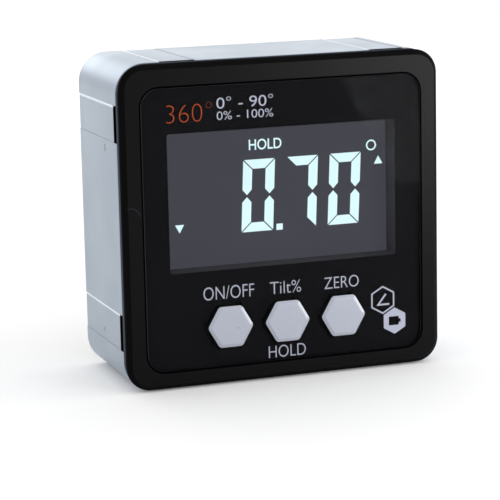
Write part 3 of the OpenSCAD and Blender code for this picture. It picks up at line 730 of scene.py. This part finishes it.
# %% Seam beads and slot pads
def slot_outline(node, section, way, wiped):
    low, high = [[v / MM for v in corner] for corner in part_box(node)]
    middle = [(a + b) / 2 for a, b in zip(low, high)]
    across = 0 if node.split("_")[1] in ("left", "right") else 2
    at_low = middle[across] < box_middle[across]
    surface, inwards = (outer_low[across], 1) if at_low else (outer_high[across], -1)
    if across == 0:
        return [(surface + inwards * depth, middle[2] + way * step) for step, depth in section]
    return [(middle[0] - way * step, surface + inwards * depth * wiped) for step, depth in section]


def along_slots(name, section, way, wiped, front, rear, finish):
    shape = bmesh.new()
    for node in bars:
        plate(shape, slot_outline(node, section, way, wiped), rear - front)
    return piece(name, shape, stand_up(rear), finish, "housing")


beads = [
    along_slots("faint_seams", FAINT_SECTION, -1, WIPED, bar_front, bar_rear, grey_bead),
    # Near-white painted highlight along the sloped edge.
    along_slots("painted_highlight_seams", HIGHLIGHT_SECTION, 1, WIPED, bar_front, bar_rear, highlight_bead),
]
# Near-black pads: painted shade in the slot ends.
pads = along_slots("stop_pads_painted_shade", PAD_SECTION, 1, 1, pad_front, pad_rear, shade_black)
print([bead.name for bead in beads], pads.name)

# %% [markdown]
# ## The digits
#
# A seven-segment digit has mitred ends at its corners and arrow-shaped ends at the waist. The
# strokes are 1.62 mm wide, the digit is 5.62 by 12.15 mm and leans a little to the right. The
# waist bar stays dark in a nought and in a seven, so only six segments are drawn. The right and
# the lower ones are mirrored from the left and the upper ones.

# %% Digit segments
DIGIT_W = 5.62
DIGIT_H = 12.15
STROKE = 1.62
BAR = 1.55
MITRE = 0.13
WAIST = 0.18
ARROW = 0.88
LEAN = 0.58 / DIGIT_H
SEGMENTS = {
    "top": [
        (MITRE, DIGIT_H),
        (DIGIT_W - MITRE, DIGIT_H),
        (DIGIT_W - STROKE - MITRE, DIGIT_H - BAR),
        (STROKE + MITRE, DIGIT_H - BAR),
    ],
    "upper_left": [
        (0, DIGIT_H - MITRE),
        (STROKE, DIGIT_H - BAR - MITRE),
        (STROKE, DIGIT_H / 2 + WAIST + ARROW),
        (STROKE / 2, DIGIT_H / 2 + WAIST),
        (0, DIGIT_H / 2 + WAIST + ARROW),
    ],
}
SEGMENTS["upper_right"] = [(DIGIT_W - x, z) for x, z in reversed(SEGMENTS["upper_left"])]
for upper, lower in (("top", "bottom"), ("upper_left", "lower_left"), ("upper_right", "lower_right")):
    SEGMENTS[lower] = [(x, DIGIT_H - z) for x, z in reversed(SEGMENTS[upper])]
print("segments:", list(SEGMENTS))

# %% The reading
NOUGHT = list(SEGMENTS)
SEVEN = ["top", "upper_right", "lower_right"]
BASE_LINE = 24.52
lit_layer = glass_front - 0.03


def digit(name, left, lit_ones):
    shape = bmesh.new()
    for segment in lit_ones:
        plate(shape, [(left + x + LEAN * z, BASE_LINE + z) for x, z in SEGMENTS[segment]])
    return piece(name, shape, stand_up(lit_layer), lit_segment, "housing")


READING = (("digit_units", -6.18, NOUGHT), ("digit_tenths", 1.53, SEVEN), ("digit_hundredths", 9.28, NOUGHT))
for name, left, lit_ones in READING:
    print(digit(name, left, lit_ones).name, lit_ones)

# %% [markdown]
# ## Signs round the digits
#
# The display also has a decimal point, a degree ring and two arrows that tell which way to
# tilt.

# %% Display signs, in mm
POINT = ((0.03, 24.45), (1.16, 24.45), (1.18, 25.5), (0.06, 25.5))
TILT_UP = ((17.88, 34.4), (19.44, 34.4), (18.66, 35.8))
TILT_DOWN = ((-17.78, 26.65), (-17.0, 25.25), (-16.22, 26.65))
DEGREE_X, DEGREE_Z = 17.38, 37.66
DEGREE_OUTER, DEGREE_INNER = 0.92, 0.67

signs = bmesh.new()
plate(signs, POINT)
ring_plate(signs, DEGREE_X, DEGREE_Z, DEGREE_OUTER, DEGREE_INNER)
plate(signs, TILT_UP)
plate(signs, TILT_DOWN)
display_signs = piece("display_signs", signs, stand_up(lit_layer), lit_segment, "housing")
print(display_signs.name, "faces", len(display_signs.data.polygons))

# %% [markdown]
# ## Words
#
# Lettering starts as a text curve in the built-in type. It is made a mesh, then stretched to
# the width and height that the words have on the panel, so the same helper serves a tall
# narrow word and a short wide one. The weight makes the strokes a little thinner or thicker.


# %% Lettering
def text_mesh(name, words, weight):
    curve = bpy.data.curves.new(name + "_curve", "FONT")
    curve.body = words
    curve.offset = weight
    curve.resolution_u = 6
    holder = bpy.data.objects.new(name + "_curve", curve)
    bpy.context.scene.collection.objects.link(holder)
    view = bpy.context.evaluated_depsgraph_get()
    outline = bpy.data.meshes.new_from_object(holder.evaluated_get(view))
    bpy.data.objects.remove(holder)
    bpy.data.curves.remove(curve)
    return outline


def lettering(name, words, box, weight, layer, finish, slot):
    left, low, right, high = box
    outline = text_mesh(name, words, weight)
    shape = bmesh.new()
    shape.from_mesh(outline)
    bpy.data.meshes.remove(outline)
    xs = [v.co.x for v in shape.verts]
    ys = [v.co.y for v in shape.verts]
    bmesh.ops.translate(shape, vec=(-min(xs), -min(ys), 0), verts=shape.verts)
    stretch = ((right - left) / (max(xs) - min(xs)), (high - low) / (max(ys) - min(ys)), 1)
    bmesh.ops.scale(shape, vec=stretch, verts=shape.verts)
    bmesh.ops.translate(shape, vec=(left, low, 0), verts=shape.verts)
    bmesh.ops.remove_doubles(shape, verts=shape.verts, dist=0.001)
    thicken(shape, shape.faces, PLATE)
    return piece(name, shape, stand_up(layer), finish, "housing")


# %% The words, with their left, low, right and high edges in mm
ink_layer = print_layer - 0.01
WORDS = (
    ("label_power", "ON/OFF", (-14.47, 14.4, -5.59, 16.6), -0.01, grey_ink),
    ("label_slope", "Tilt%", (-2.77, 14.4, 2.74, 16.5), -0.01, grey_ink),
    ("label_zero", "ZERO", (6.95, 14.4, 13.18, 16.4), -0.01, grey_ink),
    ("label_hold", "HOLD", (-3.22, 3.55, 3.41, 5.6), -0.01, grey_ink),
    ("scale_range", "360°", (-20.12, 44.2, -12.22, 47.3), -0.03, orange_ink),
    ("scale_degrees", "0° - 90°", (-11.42, 46.05, -1.6, 47.95), -0.004, grey_ink),
    ("scale_percent", "0% - 100%", (-11.42, 44.2, -1.6, 45.6), -0.004, grey_ink),
)
HELD_SIGN = ("display_hold", "HOLD", (-4.57, 38.25, 1.22, 40.05), 0.01)
for name, words, box, weight, ink in WORDS:
    print(lettering(name, words, box, weight, ink_layer, ink, "black_film").name, words)
print(lettering(*HELD_SIGN, lit_layer, lit_segment, "display_grey").name)

# %% [markdown]
# ## Two pictograms
#
# Beside the keys are two small hexagons: an outlined one with an angle sign, for measuring,
# and a filled one with a battery in it, for charging. They are plates like the digits; the
# battery is a second layer of black ink on the filled hexagon.

# %% Pictograms, in mm
OUTLINED_X, OUTLINED_Z = 17.56, 11.59
OUTLINED_OUTER, OUTLINED_INNER = 2.45, 2.16
FILLED_X, FILLED_Z, FILLED_RADIUS = 19.7, 7.8, 2.3
ANGLE_SIGN = ((16.4, 10.65), (18.75, 10.65), (18.75, 10.95), (16.98, 10.95), (18.25, 12.5), (18.0, 12.7))
BATTERY = ((18.65, 7.05), (20.45, 7.05), (20.45, 7.5), (20.8, 7.5))
BATTERY += ((20.8, 8.1), (20.45, 8.1), (20.45, 8.55), (18.65, 8.55))
SECOND_INK = 0.025


def hexagon_corners(x, z, radius):
    turns = [k * math.pi / 3 for k in range(6)]
    return [(x + radius * math.sin(turn), z + radius * math.cos(turn)) for turn in turns]


drawing = bmesh.new()
ring_plate(drawing, OUTLINED_X, OUTLINED_Z, OUTLINED_OUTER, OUTLINED_INNER, 6, math.radians(90))
plate(drawing, ANGLE_SIGN)
plate(drawing, hexagon_corners(FILLED_X, FILLED_Z, FILLED_RADIUS))
pictograms = piece("pictograms", drawing, stand_up(ink_layer), grey_ink, "housing")
drawing = bmesh.new()
plate(drawing, BATTERY)
battery_sign = piece(
    "battery_sign", drawing, stand_up(ink_layer - SECOND_INK), black_ink, "housing"
)
print(pictograms.name, battery_sign.name)

# %% [markdown]
# ## A plain pale studio
#
# A white sheet on the table, a soft sky all round and four weak softboxes give the even light
# of a catalogue picture. The sheet is uncoated paper: nearly white by its colour, with no
# shine, and with a small lift for what the eye sees straight or mirrored, so the light stays at
# a level where every finish renders about as it is written.

# %% Finish: paper
scene = bpy.context.scene
scene.view_settings.view_transform = "Standard"
FIBRE = 3
PAPER_LIFT = 0.05


def paper_sheet():
    finish, tree, place = begin("white_paper_sheet")
    fibre = add(tree, "ShaderNodeTexNoise", {"Vector": place, "Scale": per_metre(FIBRE), "Detail": 2.0})
    whites = {"Factor": fibre.outputs["Fac"], FIRST: (0.97, 0.97, 0.97, 1), SECOND: (0.95, 0.95, 0.95, 1)}
    tone = add(tree, "ShaderNodeMix", whites, data_type="RGBA").outputs[MIXED]
    dull = {"Base Color": tone, "Roughness": 0.9, "Specular IOR Level": 0.0}
    white = add(tree, "ShaderNodeBsdfPrincipled", dull).outputs["BSDF"]
    path = add(tree, "ShaderNodeLightPath").outputs
    rays = {0: path["Is Glossy Ray"], 1: path["Is Transmission Ray"]}
    mirrored = add(tree, "ShaderNodeMath", rays, operation="MAXIMUM").outputs[0]
    straight = {0: path["Is Camera Ray"], 1: mirrored}
    seen = add(tree, "ShaderNodeMath", straight, operation="MAXIMUM").outputs[0]
    lift = add(tree, "ShaderNodeMath", {0: seen, 1: PAPER_LIFT}, operation="MULTIPLY").outputs[0]
    glow = add(tree, "ShaderNodeEmission", {"Color": (1, 1, 1, 1), "Strength": lift})
    bright = add(tree, "ShaderNodeAddShader", {0: white, 1: glow.outputs["Emission"]})
    add(tree, "ShaderNodeOutputMaterial", {"Surface": bright.outputs["Shader"]})
    return finish


paper = paper_sheet()
print("floor:", paper.name)

# %% Floor and sky
FLOOR_HALF = 3.0
FLOOR_DROP = 0.0001

sheet = bmesh.new()
bmesh.ops.create_grid(sheet, x_segments=1, y_segments=1, size=FLOOR_HALF)
floor_mesh = bpy.data.meshes.new("paper_floor")
sheet.to_mesh(floor_mesh)
sheet.free()
floor_mesh.materials.append(paper)
floor = bpy.data.objects.new("paper_floor", floor_mesh)
floor.location.z = -FLOOR_DROP
scene.collection.objects.link(floor)

sky = bpy.data.worlds.new("studio_sky")
sky.use_nodes = True
sky.node_tree.nodes.clear()
glow = add(sky.node_tree, "ShaderNodeBackground", {"Color": (1.0, 1.0, 1.0, 1), "Strength": 1.0})
add(sky.node_tree, "ShaderNodeOutputWorld", {"Surface": glow.outputs["Background"]})
scene.world = sky
print("floor", floor.name, "sky", sky.name)

# %% [markdown]
# ## Four softboxes
#
# Two stand behind the gauge and light its top and its edges. The one in front lies where the
# right half of the bezel mirrors it, and the small one on the right draws the bright line on
# the keys. Places and sizes are in metres and powers in watts.


# %% Lamps
def softbox(name, where, aim, width, height, watts, roll=0.0):
    lamp = bpy.data.lights.new(name, "AREA")
    lamp.shape = "RECTANGLE"
    lamp.size = width
    lamp.size_y = height
    lamp.energy = watts
    made = bpy.data.objects.new(name, lamp)
    made.location = where
    towards = (Vector(aim) - Vector(where)).to_track_quat("-Z", "Y")
    made.rotation_euler = (towards @ Quaternion((0, 0, 1), math.radians(roll))).to_euler()
    scene.collection.objects.link(made)
    return made


GAUGE = (0, 0, 0.03)
softboxes = [
    softbox("softbox_back", (0.0, 0.5, 0.2), GAUGE, 0.6, 0.16, 0.22),
    softbox("softbox_back_left", (-0.13, 0.48, 0.25), GAUGE, 0.3, 0.2, 0.14),
    softbox("softbox_front", (0.13, -0.19, 0.03), (0.13, 0, 0.03), 0.085, 0.085, 0.21, 28.4),
    softbox("softbox_right", (0.173, -0.0565, 0.04), (0.01, -0.012, 0.012), 0.05, 0.05, 0.045),
]
print("lamps:", [lamp.name for lamp in softboxes])

# %% [markdown]
# ## The camera
#
# The picture was taken from the left and a little above, with a long lens that keeps the sides
# nearly parallel. The numbers were fitted to the outline of the object: turn, height and roll
# in degrees, distance in mm and a 158.4 mm lens on a 36 mm sensor.

# %% Camera
TURN = math.radians(-19.605)
RISE = math.radians(10.865)
ROLL = math.radians(-1.247)
TARGET = Vector((-2.174, 0, 19.961)) * MM
DISTANCE = 375.9
LENS = 158.4
SENSOR = 36

back = Vector((math.sin(TURN) * math.cos(RISE), -math.cos(TURN) * math.cos(RISE), math.sin(RISE)))
level = Vector((math.cos(TURN), math.sin(TURN), 0))
upright = back.cross(level)
right = math.cos(ROLL) * level + math.sin(ROLL) * upright
up = -math.sin(ROLL) * level + math.cos(ROLL) * upright
lens = bpy.data.cameras.new("camera")
lens.sensor_width = SENSOR
lens.lens = LENS
lens.clip_start = 0.01
camera = bpy.data.objects.new("camera", lens)
facing = Matrix((right, up, back)).transposed().to_4x4()
camera.matrix_world = Matrix.Translation(TARGET + back * DISTANCE * MM) @ facing
scene.collection.objects.link(camera)
scene.camera = camera
print("camera at mm", [round(v / MM, 1) for v in camera.matrix_world.translation])
